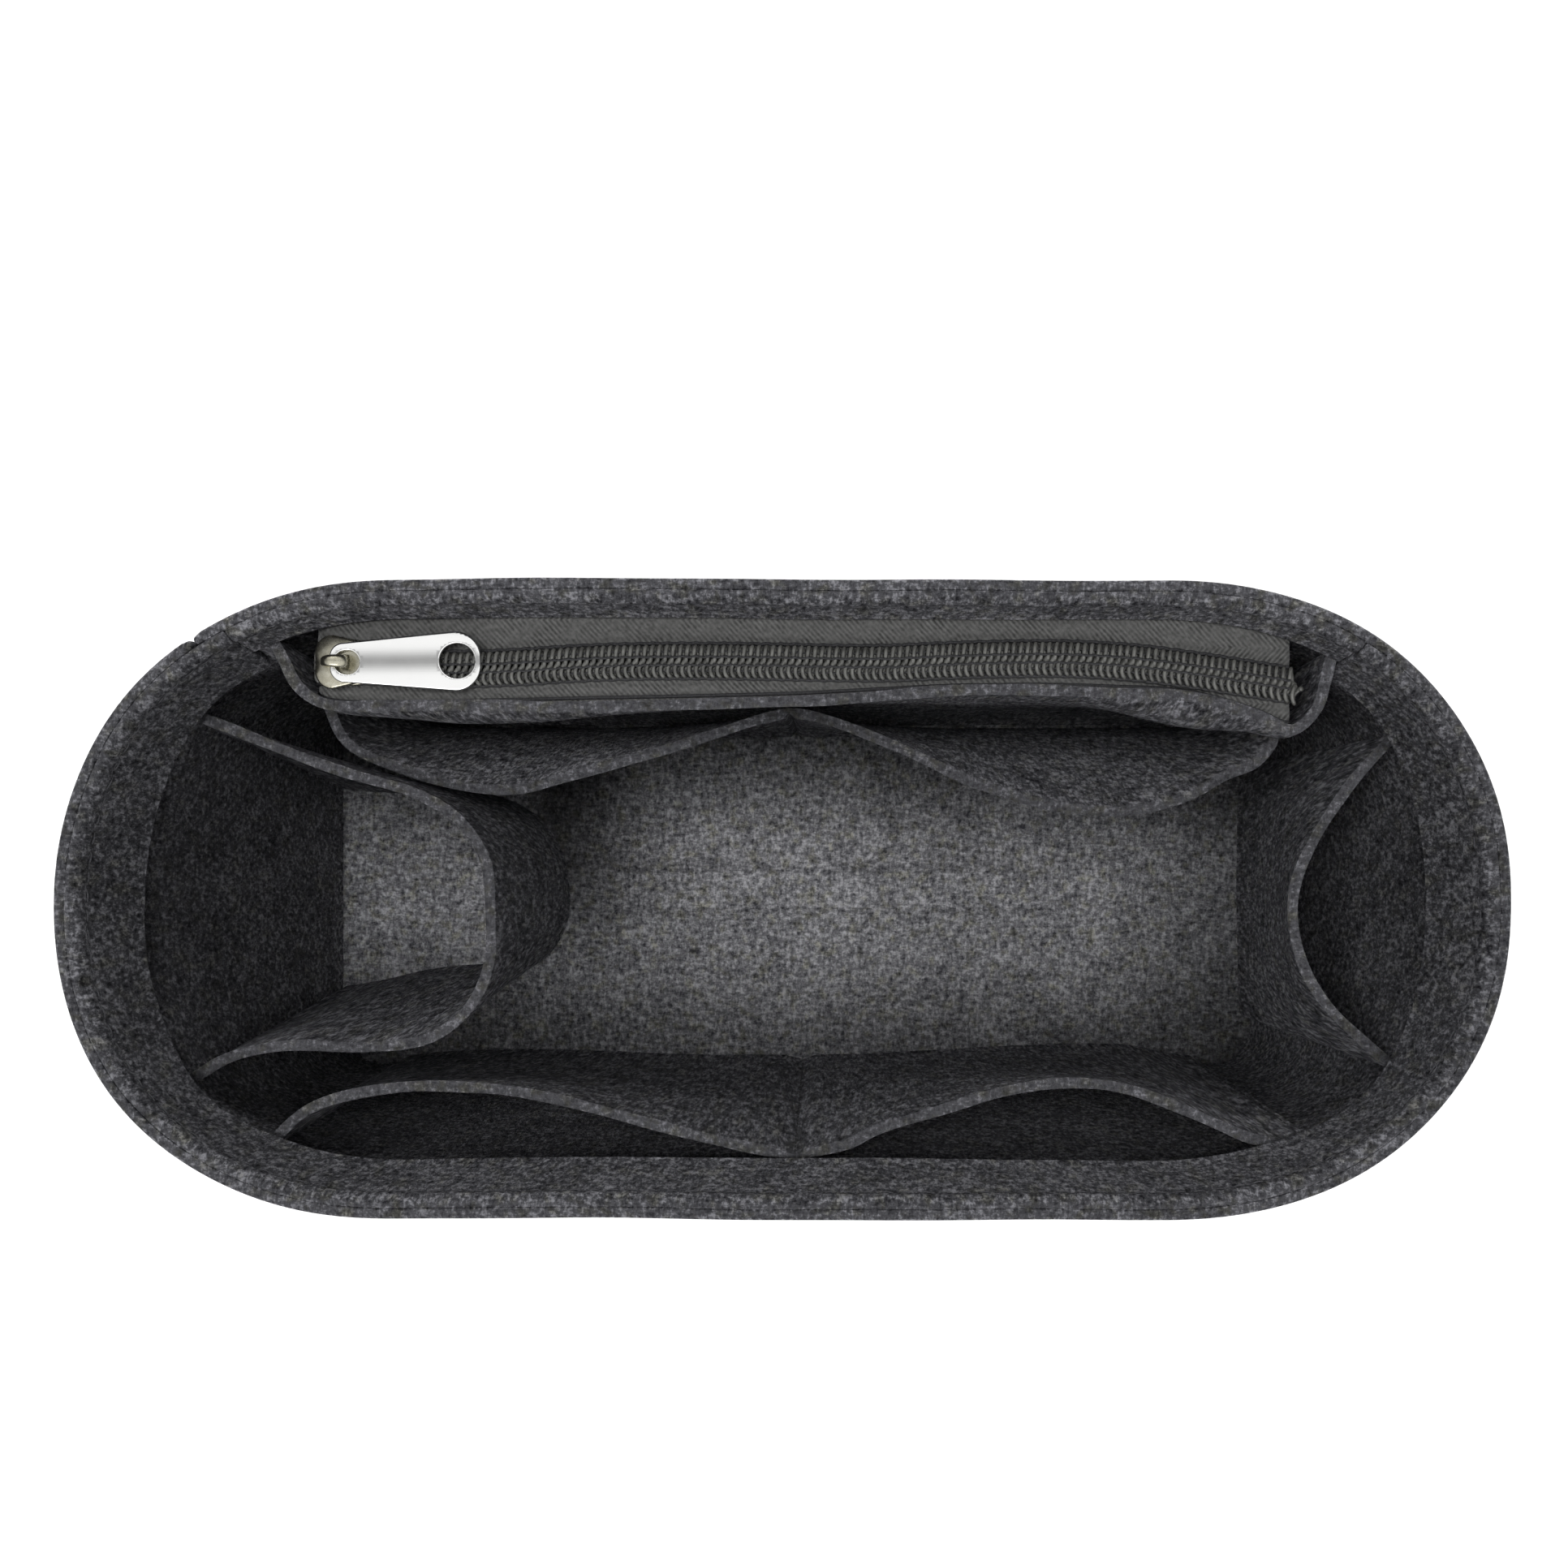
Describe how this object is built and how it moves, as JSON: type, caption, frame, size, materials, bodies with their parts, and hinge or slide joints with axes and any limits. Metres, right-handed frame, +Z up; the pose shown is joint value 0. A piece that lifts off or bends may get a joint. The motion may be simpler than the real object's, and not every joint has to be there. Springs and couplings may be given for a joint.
{
  "type": "purse organizer insert",
  "caption": "Oblong felt tub with open pockets at both ends and along both sides and a zipped pocket at the rear, to stand inside a bag.",
  "frame": {"origin": "middle of the foot, on the surface that the insert stands on", "axes": "+X to the right along the length, +Y to the rear where the zipped pocket is, +Z up"},
  "size_m": [0.25, 0.11, 0.15],
  "materials": {
    "felt_wall": "heather charcoal pressed felt, matt and slightly hairy",
    "felt_pocket": "heather charcoal pressed felt with paler cut edges",
    "felt_floor": "heather grey pressed felt, matt",
    "zip_tape": "woven polyester tape, herringbone, warm dark grey",
    "nylon_coil": "wound nylon coil, satin, warm dark grey",
    "slider_metal": "die cast zinc alloy with a dull antique nickel plating",
    "pull_metal": "bright nickel plating, polished with a soft satin"
  },
  "bodies": {
    "felt_body": {"outer_wall": "felt_wall", "base_panel": "felt_floor", "rim_facing": "felt_wall", "zip_facing": "felt_wall", "left_end_pocket": "felt_pocket", "right_end_pocket": "felt_pocket", "front_pocket_panel": "felt_pocket", "zip_pocket_panel": "felt_pocket", "rear_pocket_panel": "felt_pocket", "zip_tape_rear": "zip_tape", "zip_tape_front": "zip_tape", "zip_coil_rear": "nylon_coil", "zip_coil_front": "nylon_coil"},
    "zip_slider_body": {"zip_slider": "slider_metal"},
    "zip_pull_body": {"zip_pull": "pull_metal"}
  },
  "joints": [
    {"name": "zip_travel", "type": "slide", "parent": "felt_body", "child": "zip_slider_body", "axis": [1, 0, 0], "range_m": [0, 0.14]},
    {"name": "pull_swing", "type": "hinge", "parent": "zip_slider_body", "child": "zip_pull_body", "pos_m": [-0.07979, 0.0426, 0.1403], "axis": [0, -1, 0], "range_deg": [0, 130]}
  ]
}
